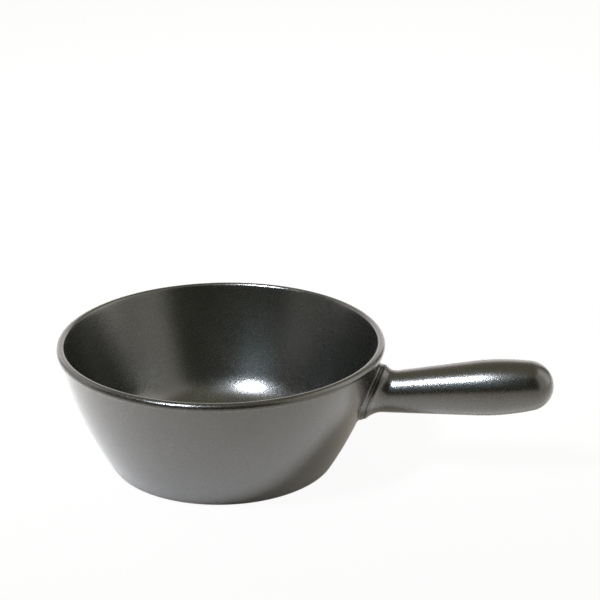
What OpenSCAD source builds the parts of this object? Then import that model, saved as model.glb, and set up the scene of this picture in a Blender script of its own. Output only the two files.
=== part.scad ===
// Small ceramic fondue pot: a thick-walled bowl with a slip-cast stick handle luted to its side.
// All sizes are in millimetres. The origin is the middle of the flat base and the handle lies along +X.

/* [Bowl] */
// Diameter over the lip
rim_d = 165; // [140:0.5:200]
// Diameter of the flat base
base_d = 114.4; // [90:0.2:130]
// Height of the bowl from the base to the top of the lip
bowl_h = 64.2; // [52:0.1:90]
// Radius of the outward curve of the wall, seen from the side
wall_bow = 217; // [150:1:400]
// Thickness of the wall at the base, measured level
base_wall = 7; // [5:0.1:9]
// Thickness of the floor
floor_t = 4; // [3:0.1:8]
// Radius of the fillet between the floor and the wall
floor_fillet = 26; // [10:0.5:32]
// Bevel round the edge of the base
base_bevel = 0.5; // [0.2:0.1:1.5]

/* [Lip] */
// Width of the lip
lip_w = 4.2; // [3.2:0.1:5.5]
// Radius of the crest along the inner edge of the lip
lip_crest_r = 1.7; // [0.8:0.05:2.2]
// Height of the straight band under the rounded shoulder
lip_band = 0.25; // [0.15:0.05:3]
// Radius of the lower edge of the band
lip_edge_r = 0.55; // [0.3:0.05:1]
// How far the lower edge stands out from the wall
lip_step = 0.5; // [0.3:0.05:1.2]

/* [Luting ring] */
// Diameter of the ring of slip between the wall and the handle
ring_d = 27.6; // [24:0.1:34]
// Thickness of that ring
ring_t = 2; // [1:0.1:4]

/* [Handle] */
// Distance from the top of the lip down to the place on the wall where the handle is set
handle_drop = 22.6; // [20:0.1:30]
// Upward tilt of the handle, in degrees
handle_tilt = 7.8; // [0:0.1:15]
// Length of the handle from the ring to its tip
handle_l = 88.5; // [76:0.5:130]
// Diameter of the handle at its neck
neck_d = 19.4; // [16:0.1:23]
// Largest diameter of the handle
belly_d = 27.6; // [24:0.1:34]
// Distance from the tip back to the widest place
belly_to_tip = 30; // [24:0.5:40]
// Radius of the long curve of the belly
belly_bow = 119; // [90:1:200]
// Diameter of the flared foot
foot_d = 26.8; // [24:0.1:34]
// Distance from the ring to the end of the flare
flare_l = 7.5; // [5:0.1:12]
// Radius of the hollow curve of the flare
flare_r = 9; // [7:0.1:16]
// Thickness of the cast wall of the handle
handle_wall = 4.5; // [3:0.1:6]
// Diameter of the vent under the handle
vent_d = 3; // [2:0.1:5]
// Distance from the ring to the vent
vent_at = 16; // [14:0.5:40]

/* [Hidden] */
$fn = 128;

// Segments of the long, flat arcs
long_arc = 720;
// Rounded forms stand this far past what they run into, so that the two cross cleanly
blend = 0.01;

// Lip: a small crest inside, a larger shoulder outside, a straight band and a rounded lower edge
rim_r = rim_d / 2;
base_r = base_d / 2;
shoulder_r = lip_w - lip_crest_r;
lip_h = shoulder_r + lip_band + lip_edge_r;
lip_low = bowl_h - lip_h;
crest = [rim_r - lip_w + lip_crest_r, bowl_h - lip_crest_r];

// Middle of a circle of radius r through two points of the profile, on the side of the pot's axis
function arc_middle(low, high, r) =
    let (half = (high - low) / 2, reach = norm(half))
    low + half + sqrt(r * r - reach * reach) / reach * [-half[1], half[0]];

// Outer curve of the wall, from the edge of the base to the underside of the lip
wall_foot = [base_r, 0];
wall_top = [rim_r - lip_step, lip_low];
wall_c = arc_middle(wall_foot, wall_top, wall_bow);

// Inner curve of the wall, from its thickness at the base to the crest of the lip
inner_top = crest - (lip_crest_r - 5 * blend) * (wall_top - wall_c) / wall_bow;
inner_c = arc_middle(wall_foot - [base_wall, 0], inner_top, wall_bow);

// Fillet between floor and wall: its middle lies one fillet radius inside both
fillet_z = floor_t + floor_fillet;
fillet_x = inner_c[0] + sqrt(pow(wall_bow - floor_fillet, 2) - pow(inner_c[1] - fillet_z, 2));
fillet_c = [fillet_x, fillet_z];
fillet_out = (fillet_c - inner_c) / norm(fillet_c - inner_c);

// Place on the wall where the handle is set, and the way the wall faces there
seat_z = bowl_h - handle_drop;
seat_x = wall_c[0] + sqrt(pow(wall_bow, 2) - pow(wall_c[1] - seat_z, 2));
seat_out = ([seat_x, seat_z] - wall_c) / wall_bow;
joint = [seat_x, seat_z] + ring_t * seat_out;
slant = tan(handle_tilt - atan2(seat_out[1], seat_out[0]));

// Handle: a straight neck, the long arc of the belly and a round nose, each tangent to the next
neck_r = neck_d / 2;
belly_r = belly_d / 2;
belly_c = [belly_r - belly_bow, handle_l - belly_to_tip];
nose_r = (2 * belly_bow * belly_r - pow(belly_r, 2) - pow(belly_to_tip, 2))
    / (2 * (belly_bow - belly_to_tip));
nose_c = [0, handle_l - nose_r];
nose_out = (nose_c - belly_c) / norm(nose_c - belly_c);
neck_from_belly = [neck_r, 0] - belly_c;
neck_turn = acos(belly_bow / norm(neck_from_belly));
neck_aim = atan2(neck_from_belly[1], neck_from_belly[0]) + neck_turn;
neck_out = [cos(neck_aim), sin(neck_aim)];
neck_widening = -tan(neck_aim);
bore_r = neck_r - handle_wall;

// The neck widens outwards, so its sections along the wall lie a little above the handle's axis
foot_rise = slant * neck_r * neck_widening;
// Depth below the ring from which the handle's forms start before they are trimmed to it
root_depth = ring_d;

// The wall with its inside filled in. Its top edge lies within the lip
module filled_wall(raise = 0) {
    band_z = lip_low + lip_edge_r + lip_band / 2;
    split_x = crest[0] + lip_crest_r / 4;
    intersection() {
        translate(wall_c) circle(r = wall_bow + raise, $fn = long_arc);
        polygon([
            [0, 0], [rim_d, 0], [rim_d, band_z], [split_x, band_z], [split_x, inner_top[1]], [0, inner_top[1]]
        ]);
    }
}

module floor_corner() {
    difference() {
        polygon([
            fillet_c,
            fillet_c - [0, 2 * floor_fillet],
            fillet_c + 4 * floor_fillet * (fillet_out - [0, 1]),
            fillet_c + 2 * floor_fillet * fillet_out
        ]);
        translate(fillet_c) circle(r = floor_fillet + blend);
    }
}

module cavity() {
    difference() {
        intersection() {
            translate(inner_c) circle(r = wall_bow, $fn = long_arc);
            translate([0, floor_t]) square([rim_d, bowl_h]);
        }
        floor_corner();
    }
}

// Cuts the corner between base and wall at equal angles to both
module base_edge() {
    wall_angle = 90 + atan2(-wall_c[1], base_r - wall_c[0]);
    translate(wall_foot - [base_bevel, 0]) rotate(wall_angle / 2)
        translate([0, -4 * base_bevel]) square(4 * base_bevel);
}

module lip() {
    translate(crest) circle(r = lip_crest_r);
    intersection() {
        translate([crest[0], bowl_h - shoulder_r - blend]) circle(r = shoulder_r);
        translate([crest[0], lip_low + lip_edge_r]) square(lip_h);
    }
    translate([rim_r - lip_edge_r, lip_low + lip_edge_r]) circle(r = lip_edge_r);
    polygon([
        [crest[0], lip_low + blend],
        [rim_r - lip_edge_r, lip_low + blend],
        [rim_r - blend, lip_low + lip_edge_r],
        [rim_r - blend, bowl_h - shoulder_r],
        crest
    ]);
}

module bowl() {
    color([0.13, 0.13, 0.11]) rotate(180) rotate_extrude() {
        difference() {
            filled_wall();
            cavity();
            base_edge();
        }
        lip();
    }
}

// The bowl's outside, filled in and raised. What sits on the wall is trimmed with it
module wall_block(raise = 0) {
    rotate(180) rotate_extrude() filled_wall(raise);
}

// Puts a form that is drawn along +Z on the handle's axis, with its zero at the ring
module on_handle() {
    translate([joint[0], 0, joint[1]]) rotate([0, 90 - handle_tilt, 0]) rotate(180) children();
}

// Turns an outline into such a form, with the seam of its surface at the side
module turned() {
    rotate(90) rotate_extrude() children();
}

// Leans the cross-sections of such a form until they lie along the bowl's wall
module along_wall() {
    translate([foot_rise, 0, 0]) multmatrix([[1, 0, 0, 0], [0, 1, 0, 0], [slant, 0, 1, 0]]) children();
}

module ring_outline(r) {
    translate([0, -root_depth]) square([r, 2 * root_depth]);
}

module luting_ring() {
    color([0.16, 0.16, 0.14]) difference() {
        intersection() {
            wall_block(ring_t);
            on_handle() translate([foot_rise, 0, 0]) turned() ring_outline(ring_d / 2);
        }
        wall_block();
        on_handle() translate([foot_rise, 0, 0]) turned() ring_outline(bore_r);
    }
}

// Outline of the handle, or of its hollow, which lies the given inset inside it
module handle_outline(inset = 0) {
    neck_end = belly_c + (belly_bow - inset) * neck_out;
    belly_end = belly_c + (belly_bow - inset) * nose_out;
    root_r = neck_end[0] - (neck_end[1] + root_depth) * neck_widening;
    belly_start = neck_end[1] - neck_r / 2;
    intersection() {
        union() {
            polygon([[0, -root_depth], [root_r, -root_depth], neck_end, [0, neck_end[1]]]);
            intersection() {
                translate(belly_c) circle(r = belly_bow - inset + blend, $fn = long_arc);
                translate([0, belly_start]) square([belly_d, belly_end[1] - belly_start]);
            }
            translate(nose_c) circle(r = nose_r - inset + 3 * blend);
        }
        translate([0, -root_depth]) square([belly_d, root_depth + 2 * handle_l]);
    }
}

// The flared foot: a disc that narrows in a hollow curve and ends just under the surface of the neck
module foot_outline() {
    end_r = neck_r + flare_l * neck_widening - 15 * blend;
    difference() {
        translate([0, -root_depth]) square([foot_d / 2, root_depth + flare_l]);
        translate([end_r + flare_r, flare_l]) circle(r = flare_r);
    }
}

module handle() {
    color([0.13, 0.13, 0.11]) difference() {
        on_handle() {
            turned() handle_outline();
            along_wall() turned() foot_outline();
        }
        wall_block(ring_t);
        on_handle() turned() handle_outline(handle_wall);
        on_handle() translate([0, 0, vent_at]) rotate([0, -90, 0]) cylinder(d = vent_d, h = belly_d);
    }
}

bowl();
luting_ring();
handle();
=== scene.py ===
import math

import bmesh
import bpy
from mathutils import Matrix, Vector


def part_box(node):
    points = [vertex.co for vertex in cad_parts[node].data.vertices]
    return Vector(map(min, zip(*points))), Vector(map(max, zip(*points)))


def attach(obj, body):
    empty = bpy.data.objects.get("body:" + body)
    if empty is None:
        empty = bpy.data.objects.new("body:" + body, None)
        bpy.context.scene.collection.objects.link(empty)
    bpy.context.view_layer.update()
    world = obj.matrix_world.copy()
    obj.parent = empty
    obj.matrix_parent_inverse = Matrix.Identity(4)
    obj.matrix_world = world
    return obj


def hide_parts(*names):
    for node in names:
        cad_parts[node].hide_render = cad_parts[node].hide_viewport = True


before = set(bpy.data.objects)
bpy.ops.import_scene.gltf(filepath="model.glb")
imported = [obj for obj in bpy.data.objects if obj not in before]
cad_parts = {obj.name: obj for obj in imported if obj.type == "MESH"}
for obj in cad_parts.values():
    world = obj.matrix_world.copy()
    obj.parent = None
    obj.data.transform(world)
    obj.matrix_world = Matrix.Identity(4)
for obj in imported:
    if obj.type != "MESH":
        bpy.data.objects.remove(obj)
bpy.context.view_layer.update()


# Bowl
# One body of stoneware, jiggered with its flat base, bowed wall and rounded lip in one piece.
# It wears a satin iron-black glaze inside and out, wiped off the base so that it can stand in the kiln.

bowl_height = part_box("bowl")[1].z
rim_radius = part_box("bowl")[1].x
base_radius = 0.0572
base_round = 0.0006
wall_bow = 0.217
wall_at_base = 0.007
floor_thickness = 0.004
floor_fillet = 0.026
lip_width = 0.0042
lip_crest = 0.0017
lip_shoulder = lip_width - lip_crest
lip_band = 0.00025
lip_edge = 0.00055
lip_step = 0.0005
lip_low = bowl_height - lip_shoulder - lip_band - lip_edge
glaze_pool = 0.0006
quarter = math.pi / 2
lip_edge_turn = -0.85 * quarter


def on_section(radius, height):
    """A point of a section through the pot, from its radius and height."""
    return Vector((radius, 0, height))


def direction(angle):
    return on_section(math.cos(angle), math.sin(angle))


def angle_from(middle, point):
    return math.atan2(point.z - middle.z, point.x - middle.x)


def arc_middle(low, high, radius):
    """The middle of a circle through two points of a section, on the side of the pot's axis."""
    half = (high - low) / 2
    across = on_section(-half.z, half.x).normalized()
    return low + half + across * math.sqrt(radius ** 2 - half.length_squared)


def rounding_middle(wall_middle, height, radius):
    """The middle of a circle of that radius inside a wall's curve, at a height above the base."""
    reach = math.sqrt((wall_bow - radius) ** 2 - (height - wall_middle.z) ** 2)
    return on_section(wall_middle.x + reach, height)


def draw_to(mesh, corner, place):
    """Carries an outline on in a straight line and returns its new end."""
    drawn = bmesh.ops.extrude_vert_indiv(mesh, verts=[corner])
    drawn["verts"][0].co = place
    return drawn["verts"][0]


def draw_round(mesh, corner, middle, last_angle, steps):
    """Carries an outline on along an arc, up to an angle about its middle, and returns its new end."""
    turn = last_angle - angle_from(middle, corner.co)
    drawn = bmesh.ops.spin(
        mesh, geom=[corner], cent=middle, axis=(0, -1, 0), angle=turn, steps=steps
    )
    return [part for part in drawn["geom_last"] if isinstance(part, bmesh.types.BMVert)][0]


def turn_on_axis(mesh, steps):
    """Turns an outline into a closed body about the Z axis."""
    bmesh.ops.spin(
        mesh, geom=mesh.verts[:] + mesh.edges[:], cent=(0, 0, 0), axis=(0, 0, 1),
        angle=math.tau, steps=steps, use_merge=True,
    )
    bmesh.ops.remove_doubles(mesh, verts=mesh.verts[:], dist=1e-7)
    bmesh.ops.recalc_face_normals(mesh, faces=mesh.faces[:])


def make_piece(name, mesh, material, node):
    """Makes an object from a mesh, in place of the solid of the same piece."""
    data = bpy.data.meshes.new(name)
    for face in mesh.faces:
        face.smooth = True
    mesh.to_mesh(data)
    mesh.free()
    data.materials.append(material)
    piece = bpy.data.objects.new(name, data)
    bpy.context.scene.collection.objects.link(piece)
    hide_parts(node)
    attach(piece, "root")


wall_foot = on_section(base_radius, 0)
wall_top = on_section(rim_radius - lip_step, lip_low)
wall_middle = arc_middle(wall_foot, wall_top, wall_bow)
wall_lean = angle_from(wall_middle, wall_top)
crest_middle = on_section(rim_radius - lip_width + lip_crest, bowl_height - lip_crest)
shoulder_middle = on_section(crest_middle.x, bowl_height - lip_shoulder)
edge_middle = on_section(rim_radius - lip_edge, lip_low + lip_edge)
inner_top = crest_middle - lip_crest * direction(wall_lean)
inner_middle = arc_middle(wall_foot - on_section(wall_at_base, 0), inner_top, wall_bow)
fillet_middle = rounding_middle(inner_middle, floor_thickness + floor_fillet, floor_fillet)
base_middle = rounding_middle(wall_middle, base_round, base_round)

bowl_mesh = bmesh.new()
end = bowl_mesh.verts.new((0, 0, 0))
end = draw_to(bowl_mesh, end, base_middle - on_section(base_round, base_round))
end = draw_to(bowl_mesh, end, base_middle - on_section(0, base_round))
end = draw_round(bowl_mesh, end, base_middle, angle_from(wall_middle, base_middle), steps=5)
end = draw_round(bowl_mesh, end, wall_middle, wall_lean - glaze_pool / wall_bow, steps=28)
end = draw_round(bowl_mesh, end, wall_middle, wall_lean, steps=1)
end = draw_to(bowl_mesh, end, edge_middle + lip_edge * direction(lip_edge_turn))
end = draw_round(bowl_mesh, end, edge_middle, 0, steps=6)
end = draw_to(bowl_mesh, end, shoulder_middle + on_section(lip_shoulder, 0))
end = draw_round(bowl_mesh, end, shoulder_middle, quarter, steps=10)
end = draw_round(bowl_mesh, end, crest_middle, 2 * quarter + wall_lean, steps=10)
end = draw_round(bowl_mesh, end, inner_middle, angle_from(inner_middle, fillet_middle), steps=24)
end = draw_round(bowl_mesh, end, fillet_middle, -quarter, steps=14)
end = draw_to(bowl_mesh, end, on_section(0, floor_thickness))
turn_on_axis(bowl_mesh, steps=192)

bare_clay = (0.3, 0.235, 0.175, 1)
bare_roughness = 0.75
glaze_index = 2.1
haze_index = 1.6
haze_roughness = 0.32
haze_thin = 0.06
haze_thick = 0.2
haze_grain = 1.6
noise_span = (0.3, 0.7)
cloud_size = 0.018
skin_size = 0.0028
skin_share = 0.5
grain_size = 0.0006
grain_depth = 0.00004
grain_gloss = 0.05
pit_spacing = 0.008
pit_free = 0.86
pit_edge = (0.03, 0.06)
pit_clay = 0.5
wipe_edge = 0.1 * base_round
black_thin = (0.0045, 0.0052, 0.0034, 1)
black_deep = (0.0025, 0.0031, 0.0018, 1)
satin = 0.24


def new_node(tree, kind, **settings):
    """Adds a shader node, with its settings."""
    node = tree.nodes.new(kind)
    for name, value in settings.items():
        setattr(node, name, value)
    return node


def feed(tree, socket, value):
    """Links an output to a socket, or sets the socket to a number or a colour."""
    if isinstance(value, bpy.types.NodeSocket):
        tree.links.new(value, socket)
    else:
        socket.default_value = value


def noise(tree, place, size, detail):
    """Cloudy noise whose forms are about that size."""
    node = new_node(tree, "ShaderNodeTexNoise")
    feed(tree, node.inputs["Vector"], place)
    feed(tree, node.inputs["Scale"], 1 / size)
    feed(tree, node.inputs["Detail"], detail)
    return node.outputs["Fac"]


def ramp(tree, value, start, end, first=0.0, last=1.0, kind="LINEAR"):
    """Runs from the first number to the last while a value goes from start to end."""
    node = new_node(tree, "ShaderNodeMapRange", interpolation_type=kind)
    limits = {"From Min": start, "From Max": end, "To Min": first, "To Max": last}
    for name, limit in limits.items():
        feed(tree, node.inputs[name], limit)
    feed(tree, node.inputs["Value"], value)
    return node.outputs["Result"]


def sum_of(tree, operation, first, second, third=0.0):
    """The result of a sum with two or three numbers."""
    node = new_node(tree, "ShaderNodeMath", operation=operation)
    for socket, value in zip(node.inputs, (first, second, third)):
        feed(tree, socket, value)
    return node.outputs["Value"]


def mixed(tree, share, first, second):
    """A blend of two colours."""
    node = new_node(tree, "ShaderNodeMix", data_type="RGBA")
    feed(tree, node.inputs["Factor"], share)
    feed(tree, node.inputs[6], first)
    feed(tree, node.inputs[7], second)
    return node.outputs[2]


def make_glaze_group():
    """The satin glaze on clay: clouded colour, a grainy skin, a hazy sheen and a few pin holes."""
    group = bpy.data.node_groups.new("satin_glaze", "ShaderNodeTree")
    colors = {"INPUT": ("Thin", "Deep"), "OUTPUT": ("Color",)}
    numbers = {"INPUT": ("Gloss", "Bare"), "OUTPUT": ("Roughness", "Haze", "Height")}
    for side in ("INPUT", "OUTPUT"):
        for name in colors[side]:
            group.interface.new_socket(name, in_out=side, socket_type="NodeSocketColor")
        for name in numbers[side]:
            group.interface.new_socket(name, in_out=side, socket_type="NodeSocketFloat")
    source = new_node(group, "NodeGroupInput").outputs
    result = new_node(group, "NodeGroupOutput").inputs
    place = new_node(group, "ShaderNodeTexCoord").outputs["Object"]

    clouds = ramp(group, noise(group, place, cloud_size, 4), *noise_span)
    skin = noise(group, place, skin_size, 2)
    grain = noise(group, place, grain_size, 1)
    cells = new_node(group, "ShaderNodeTexVoronoi")
    feed(group, cells.inputs["Vector"], place)
    feed(group, cells.inputs["Scale"], 1 / pit_spacing)
    lot = new_node(group, "ShaderNodeSeparateColor")
    feed(group, lot.inputs["Color"], cells.outputs["Color"])
    rare = sum_of(group, "GREATER_THAN", lot.outputs["Red"], pit_free)
    pit = sum_of(group, "MULTIPLY", rare, ramp(group, cells.outputs["Distance"], *pit_edge, 1, 0))

    glazed = mixed(group, clouds, source["Deep"], source["Thin"])
    glazed = mixed(group, sum_of(group, "MULTIPLY", pit, pit_clay), glazed, bare_clay)
    feed(group, result["Color"], mixed(group, source["Bare"], glazed, bare_clay))
    gloss_change = ramp(group, grain, *noise_span, -grain_gloss, grain_gloss)
    uneven = sum_of(group, "ADD", source["Gloss"], gloss_change)
    rough = ramp(group, source["Bare"], 0, 1, 0, bare_roughness)
    feed(group, result["Roughness"], sum_of(group, "MAXIMUM", uneven, rough))
    covered = sum_of(group, "SUBTRACT", 1, source["Bare"])
    mist = ramp(group, clouds, 0, 1, haze_thin, haze_thick)
    mist = sum_of(group, "MULTIPLY", mist, ramp(group, grain, *noise_span, 0, haze_grain))
    feed(group, result["Haze"], sum_of(group, "MULTIPLY", covered, mist))
    peel = sum_of(group, "MULTIPLY_ADD", skin, skin_share, grain)
    feed(group, result["Height"], sum_of(group, "SUBTRACT", peel, pit))
    return group


glaze_group = make_glaze_group()


def make_glaze(name, thin, deep, gloss):
    """A glaze with its own colours and gloss, on a surface that reflects as iron glazes do."""
    material = bpy.data.materials.new(name)
    material.use_nodes = True
    tree = material.node_tree
    surface = tree.nodes["Principled BSDF"].inputs
    surface["IOR"].default_value = glaze_index
    surface["Coat IOR"].default_value = haze_index
    surface["Coat Roughness"].default_value = haze_roughness
    glaze = new_node(tree, "ShaderNodeGroup", node_tree=glaze_group, name="glaze")
    for socket, value in {"Thin": thin, "Deep": deep, "Gloss": gloss}.items():
        feed(tree, glaze.inputs[socket], value)
    bump = new_node(tree, "ShaderNodeBump")
    bump.inputs["Distance"].default_value = grain_depth
    feed(tree, bump.inputs["Height"], glaze.outputs["Height"])
    feed(tree, surface["Base Color"], glaze.outputs["Color"])
    feed(tree, surface["Roughness"], glaze.outputs["Roughness"])
    feed(tree, surface["Coat Weight"], glaze.outputs["Haze"])
    feed(tree, surface["Normal"], bump.outputs["Normal"])
    return material


bowl_glaze = make_glaze("bowl_glaze", black_thin, black_deep, satin)
tree = bowl_glaze.node_tree
place = new_node(tree, "ShaderNodeTexCoord").outputs["Object"]
height = new_node(tree, "ShaderNodeSeparateXYZ")
feed(tree, height.inputs["Vector"], place)
wiped = sum_of(tree, "MULTIPLY_ADD", noise(tree, place, skin_size, 3), -base_round, height.outputs["Z"])
feed(tree, tree.nodes["glaze"].inputs["Bare"], ramp(tree, wiped, -wipe_edge, wipe_edge, 1, 0))
make_piece("bowl_body", bowl_mesh, bowl_glaze, "bowl")


# Luting ring
# The band of slip that was pressed out between wall and handle when the handle was set on.
# It follows the bow and the round of the wall, runs into it with a small hollow, and is glazed over.

handle_tilt = math.radians(7.8)
handle_drop = 0.0226
ring_radius = 0.0138
ring_bore = 0.0052
ring_thickness = 0.002
ring_round = 0.0005
ring_hollow = 0.0011
ring_rise = 0.00037
slide_rounds = 40
joint_thin = (0.03, 0.029, 0.024, 1)
joint_deep = (0.018, 0.0185, 0.0145, 1)

seat_height = bowl_height - handle_drop
seat_reach = math.sqrt(wall_bow ** 2 - (seat_height - wall_middle.z) ** 2)
seat = on_section(wall_middle.x + seat_reach, seat_height)
seat_lean = angle_from(wall_middle, seat)
joint = seat + ring_thickness * direction(seat_lean)
slant = math.tan(handle_tilt - seat_lean)
upward = Vector((-math.sin(handle_tilt), 0, math.cos(handle_tilt)))
outward = Vector((math.cos(handle_tilt), 0, math.sin(handle_tilt)))
sideways = outward.cross(upward)
handle_place = Matrix((upward, sideways, outward)).transposed().to_4x4()
handle_place.translation = joint


def height_above_wall(point):
    """How far a point stands off the outside of the bowl's wall."""
    turned = on_section(math.hypot(point.x, point.y), point.z)
    return (turned - wall_middle).length - wall_bow


def slide_to_wall(point, stand_off):
    """Slides a point along the handle's axis until it stands that far off the wall."""
    slid = point.copy()
    for _ in range(slide_rounds):
        slid += outward * (stand_off - height_above_wall(slid))
    return slid


ring_edge = on_section(ring_radius - ring_round, ring_thickness - ring_round)
ring_mesh = bmesh.new()
first = ring_mesh.verts.new(on_section(ring_bore, 0))
end = draw_to(ring_mesh, first, on_section(ring_radius + ring_hollow, 0))
end = draw_round(ring_mesh, end, on_section(ring_radius + ring_hollow, ring_hollow), -math.pi, steps=5)
end = draw_to(ring_mesh, end, ring_edge + on_section(ring_round, 0))
end = draw_round(ring_mesh, end, ring_edge, quarter, steps=5)
end = draw_to(ring_mesh, end, on_section(ring_bore, ring_thickness))
ring_mesh.edges.new((end, first))
turn_on_axis(ring_mesh, steps=128)
for vertex in ring_mesh.verts:
    stand_off = vertex.co.z
    on_axis = Vector((vertex.co.x + ring_rise, vertex.co.y, 0))
    vertex.co = slide_to_wall(handle_place @ on_axis, stand_off)

joint_glaze = make_glaze("joint_glaze", joint_thin, joint_deep, satin)
make_piece("luting_ring_band", ring_mesh, joint_glaze, "luting_ring")


# Handle
# A hollow slip-cast stick with a flared foot, trimmed to the slant of the wall and luted on with slip.
# Its neck widens into a long belly with a round nose, and a small vent below let steam out in firing.

handle_length = 0.0885
neck_radius = 0.0097
belly_radius = 0.0138
belly_to_tip = 0.03
belly_bow = 0.119
foot_radius = 0.0134
foot_round = 0.0003
foot_top = 1.01 * foot_round
flare_length = 0.0075
flare_hollow = 0.009
neck_blend = 0.03
neck_loops = 12
vent_radius = 0.0015
vent_at = 0.016
vent_depth = 0.0045
vent_round = 0.0004
vent_clearing = 2 * vent_radius
handle_satin = 0.26

belly_middle = on_section(belly_radius - belly_bow, handle_length - belly_to_tip)
nose_radius = 2 * belly_bow * belly_radius - belly_radius ** 2 - belly_to_tip ** 2
nose_radius /= 2 * (belly_bow - belly_to_tip)
nose_middle = on_section(0, handle_length - nose_radius)
neck_start = on_section(neck_radius, 0)
neck_turn = math.acos(belly_bow / (neck_start - belly_middle).length)
neck_aim = angle_from(belly_middle, neck_start) + neck_turn
neck_end = belly_middle + belly_bow * direction(neck_aim)
neck_widening = -math.tan(neck_aim)
flare_end = on_section(neck_radius + flare_length * neck_widening, flare_length)
flare_middle = flare_end + on_section(flare_hollow, 0)
rim_angle = math.pi + math.acos((flare_middle.x - foot_radius) / flare_hollow)

handle_mesh = bmesh.new()
end = handle_mesh.verts.new((0, 0, 0))
end = draw_to(handle_mesh, end, on_section(foot_radius / 2, 0))
end = draw_to(handle_mesh, end, on_section(foot_radius - foot_round, 0))
end = draw_round(handle_mesh, end, on_section(foot_radius - foot_round, foot_round), 0, steps=3)
end = draw_to(handle_mesh, end, flare_middle + flare_hollow * direction(rim_angle))
end = draw_round(handle_mesh, end, flare_middle, -math.pi, steps=14)
for loop in range(1, neck_loops + 1):
    end = draw_to(handle_mesh, end, flare_end.lerp(neck_end, loop / neck_loops))
end = draw_round(handle_mesh, end, belly_middle, angle_from(belly_middle, nose_middle), steps=24)
end = draw_round(handle_mesh, end, nose_middle, quarter, steps=18)
turn_on_axis(handle_mesh, steps=96)

for vertex in handle_mesh.verts:
    height = vertex.co.z
    lean = min(1, max(0, (neck_blend - height) / (neck_blend - flare_length)))
    lean = lean * lean * (3 - 2 * lean)
    leaning = Vector((ring_rise, 0, slant * vertex.co.x))
    vertex.co = handle_place @ (vertex.co + lean * leaning)
    if height < foot_top:
        vertex.co = slide_to_wall(vertex.co, ring_thickness + height)

vent_place = Matrix((sideways, outward, upward)).transposed().to_4x4()
vent_place.translation = handle_place @ Vector((0, 0, vent_at))
into_vent = vent_place.inverted()
vent_patch = []
for face in handle_mesh.faces:
    place = into_vent @ face.calc_center_median()
    if place.z < 0 and place.xy.length < vent_clearing:
        vent_patch.append(face)
bmesh.ops.delete(handle_mesh, geom=vent_patch, context="FACES")
edges = [edge for edge in handle_mesh.edges if edge.is_boundary]
rim_width = vent_radius + vent_round
rim = bmesh.ops.create_circle(handle_mesh, segments=24, radius=rim_width, matrix=vent_place)["verts"]
for vertex in rim:
    place = into_vent @ vertex.co
    reach = neck_radius + neck_widening * (vent_at + place.y)
    vertex.co = vent_place @ Vector((place.x, place.y, -math.sqrt(reach ** 2 - place.x ** 2)))
rim_edges = list({edge for vertex in rim for edge in vertex.link_edges})
bmesh.ops.bridge_loops(handle_mesh, edges=edges + rim_edges)

depth = 0
vent_steps = [(vent_radius + vent_round * (1 - math.sin(turn)), vent_round * (1 - math.cos(turn)))
              for turn in (quarter / 3, 2 * quarter / 3, quarter)]
for next_width, next_depth in vent_steps + [(vent_radius, vent_depth)]:
    drawn = bmesh.ops.extrude_edge_only(handle_mesh, edges=rim_edges)["geom"]
    rim_edges = [part for part in drawn if isinstance(part, bmesh.types.BMEdge)]
    corners = [part for part in drawn if isinstance(part, bmesh.types.BMVert)]
    narrower = Vector((next_width / rim_width, next_width / rim_width, 1))
    bmesh.ops.scale(handle_mesh, vec=narrower, space=into_vent, verts=corners)
    bmesh.ops.translate(handle_mesh, vec=upward * (next_depth - depth), verts=corners)
    rim_width = next_width
    depth = next_depth
bmesh.ops.contextual_create(handle_mesh, geom=rim_edges)
bmesh.ops.recalc_face_normals(handle_mesh, faces=handle_mesh.faces[:])

handle_glaze = make_glaze("handle_glaze", black_thin, black_deep, handle_satin)
make_piece("stick_handle", handle_mesh, handle_glaze, "handle")


# Floor
# A wide white sheet under the pot. It shows as white and keeps a faint shadow.

floor_color = (0.95, 0.88, 0.84, 1)
mirrored_color = (1.42, 1.35, 1.31, 1)
floor_reach = 6
white_shares = {"Is Camera Ray": 0.94, "Is Glossy Ray": 0.05, "Is Transmission Ray": 0.05}


def mixed_shader(tree, share, first, second):
    """A blend of two shaders."""
    node = new_node(tree, "ShaderNodeMixShader")
    for socket, value in zip(node.inputs, (share, first, second)):
        feed(tree, socket, value)
    return node.outputs["Shader"]


floor_paint = bpy.data.materials.new("floor_paint")
floor_paint.use_nodes = True
tree = floor_paint.node_tree
tree.nodes.clear()
paint = new_node(tree, "ShaderNodeBsdfDiffuse")
white = new_node(tree, "ShaderNodeEmission")
path = new_node(tree, "ShaderNodeLightPath").outputs
feed(tree, paint.inputs["Color"], mixed(tree, path["Is Glossy Ray"], floor_color, mirrored_color))
whiteness = 0.0
for ray, share in white_shares.items():
    whiteness = sum_of(tree, "MULTIPLY_ADD", path[ray], share, whiteness)
above = mixed_shader(tree, whiteness, paint.outputs["BSDF"], white.outputs["Emission"])
clear = new_node(tree, "ShaderNodeBsdfTransparent")
below = new_node(tree, "ShaderNodeNewGeometry").outputs["Backfacing"]
output = new_node(tree, "ShaderNodeOutputMaterial")
feed(tree, output.inputs["Surface"], mixed_shader(tree, below, above, clear.outputs["BSDF"]))

floor_mesh = bmesh.new()
bmesh.ops.create_grid(floor_mesh, x_segments=1, y_segments=1, size=floor_reach)
floor_data = bpy.data.meshes.new("floor")
floor_mesh.to_mesh(floor_data)
floor_mesh.free()
floor_data.materials.append(floor_paint)
floor = bpy.data.objects.new("floor", floor_data)
bpy.context.scene.collection.objects.link(floor)


# Surroundings
# A dim room with a lit white wall behind the pot, a paler wall and screen on the left, a window on the
# right and a light ceiling that is brightest over the wall behind.
# Their bearings run round the pot from the side where the camera stands, to the right.

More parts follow.
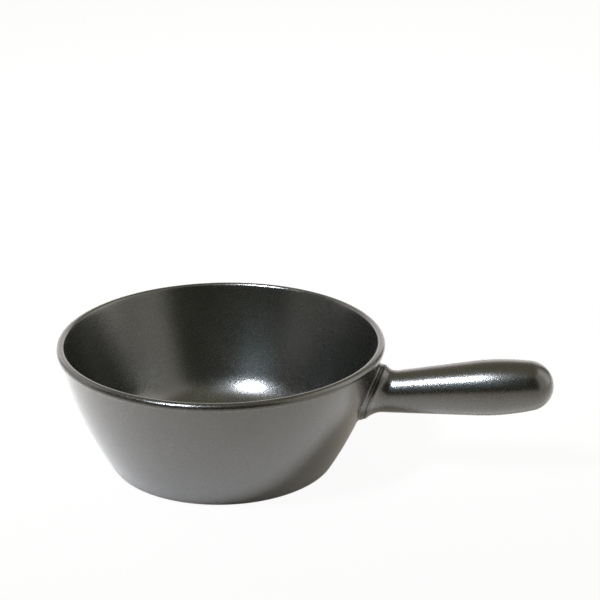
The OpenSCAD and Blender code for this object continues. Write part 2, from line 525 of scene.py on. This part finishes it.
room_color = (1, 0.92, 0.64, 1)
room_level = 0.08
ceiling_level = 0.36
ceiling_bearing = 180
ceiling_rise = 75
ceiling_reach = 55
ceiling_core = 33
wall_white = (1, 0.96, 0.95, 1)
left_white = (1, 0.95, 0.98, 1)
left_dim = (1, 0.97, 0.94, 1)
screen_blue = (0.55, 0.9, 1, 1)
window_front = (1, 0.97, 0.88, 1)
window_back = (1, 0.98, 0.9, 1)
glows = (
    {"bearing": -178, "half_width": 35, "bottom": -30, "top": 30, "level": 1.55, "color": wall_white},
    {"bearing": -122, "half_width": 26, "bottom": -30, "top": 46, "level": 0.9, "color": left_white},
    {"bearing": -76, "half_width": 24, "bottom": -30, "top": 22, "level": 0.28, "color": left_dim},
    {"bearing": -30, "half_width": 14, "bottom": 25, "top": 42, "level": 0.42, "color": screen_blue},
    {"bearing": 82, "half_width": 36, "bottom": -30, "top": 58, "level": 0.72, "color": window_front},
    {"bearing": 110, "half_width": 22, "bottom": -30, "top": 52, "level": 0.7, "color": window_back},
)
glow_fade = 6
camera_place = Vector((0.1849, -0.7104, 0.3618))
camera_way = Vector((-0.1865, 0.9164, -0.3541))


def stage_way(bearing, elevation):
    """A direction from the pot, from its bearing and elevation in degrees."""
    near = Vector((-camera_way.x, -camera_way.y, 0)).normalized()
    level_way = Matrix.Rotation(math.radians(bearing), 3, "Z") @ near
    rise = math.radians(elevation)
    return math.cos(rise) * level_way + math.sin(rise) * Vector((0, 0, 1))


world = bpy.data.worlds.new("surroundings")
bpy.context.scene.world = world
world.use_nodes = True
tree = world.node_tree
tree.nodes.clear()
way = new_node(tree, "ShaderNodeTexCoord").outputs["Generated"]
rise = new_node(tree, "ShaderNodeSeparateXYZ")
feed(tree, rise.inputs["Vector"], way)
flat = new_node(tree, "ShaderNodeVectorMath", operation="MULTIPLY")
feed(tree, flat.inputs[0], way)
flat.inputs[1].default_value = (1, 1, 0)
heading = new_node(tree, "ShaderNodeVectorMath", operation="NORMALIZE")
feed(tree, heading.inputs[0], flat.outputs["Vector"])
room = new_node(tree, "ShaderNodeBackground")
room.inputs["Color"].default_value = room_color
overhead = new_node(tree, "ShaderNodeVectorMath", operation="DOT_PRODUCT")
feed(tree, overhead.inputs[0], way)
overhead.inputs[1].default_value = stage_way(ceiling_bearing, ceiling_rise)
far = math.cos(math.radians(ceiling_reach))
near = math.cos(math.radians(ceiling_core))
brightness = ramp(tree, overhead.outputs["Value"], far, near, room_level, ceiling_level, "SMOOTHSTEP")
feed(tree, room.inputs["Strength"], brightness)
light = room.outputs["Background"]
for glow in glows:
    toward = new_node(tree, "ShaderNodeVectorMath", operation="DOT_PRODUCT")
    feed(tree, toward.inputs[0], heading.outputs["Vector"])
    toward.inputs[1].default_value = stage_way(glow["bearing"], 0)
    far = math.cos(math.radians(glow["half_width"] + glow_fade))
    near = math.cos(math.radians(glow["half_width"] - glow_fade))
    across = ramp(tree, toward.outputs["Value"], far, near, 0, glow["level"], "SMOOTHSTEP")
    low = math.sin(math.radians(glow["top"] - glow_fade))
    high = math.sin(math.radians(glow["top"] + glow_fade))
    upright = ramp(tree, rise.outputs["Z"], low, high, 1, 0, "SMOOTHSTEP")
    low = math.sin(math.radians(glow["bottom"] - glow_fade))
    high = math.sin(math.radians(glow["bottom"] + glow_fade))
    raised = ramp(tree, rise.outputs["Z"], low, high, 0, 1, "SMOOTHSTEP")
    upright = sum_of(tree, "MULTIPLY", upright, raised)
    shine = new_node(tree, "ShaderNodeBackground")
    shine.inputs["Color"].default_value = glow["color"]
    feed(tree, shine.inputs["Strength"], sum_of(tree, "MULTIPLY", across, upright))
    total = new_node(tree, "ShaderNodeAddShader")
    feed(tree, total.inputs[0], light)
    feed(tree, total.inputs[1], shine.outputs["Background"])
    light = total.outputs["Shader"]
backdrop = new_node(tree, "ShaderNodeBackground")
backdrop.inputs["Color"].default_value = (1, 1, 1, 1)
seen = new_node(tree, "ShaderNodeLightPath").outputs["Is Camera Ray"]
output = new_node(tree, "ShaderNodeOutputWorld")
feed(tree, output.inputs["Surface"], mixed_shader(tree, seen, light, backdrop.outputs["Background"]))


# Lamp
# A tall oval lamp at the front left, a little over a metre away. It gives the highlights and the shadow.

lamp_place = Vector((-0.2915, -0.4666, 1.0133))
lamp_aim = Vector((-0.1, 0.6, 0))
lamp_data = bpy.data.lights.new("lamp", "AREA")
lamp_data.shape = "ELLIPSE"
lamp_data.size = 0.15
lamp_data.size_y = 0.44
lamp_data.spread = math.radians(60)
lamp_data.energy = 5.5
lamp_data.color = (0.85, 0.92, 1)
lamp = bpy.data.objects.new("lamp", lamp_data)
lamp.location = lamp_place
lamp.rotation_euler = (lamp_place - lamp_aim).to_track_quat("Z", "Y").to_euler()
bpy.context.scene.collection.objects.link(lamp)


# Camera
# A long lens from the front, a little to the right of the pot and well above it.

camera_data = bpy.data.cameras.new("camera")
camera_data.sensor_width = 36
camera_data.lens = 94.44
camera = bpy.data.objects.new("camera", camera_data)
camera.location = camera_place
camera.rotation_euler = camera_way.to_track_quat("-Z", "Y").to_euler()
bpy.context.scene.collection.objects.link(camera)
bpy.context.scene.camera = camera
bpy.context.scene.view_settings.view_transform = "Standard"
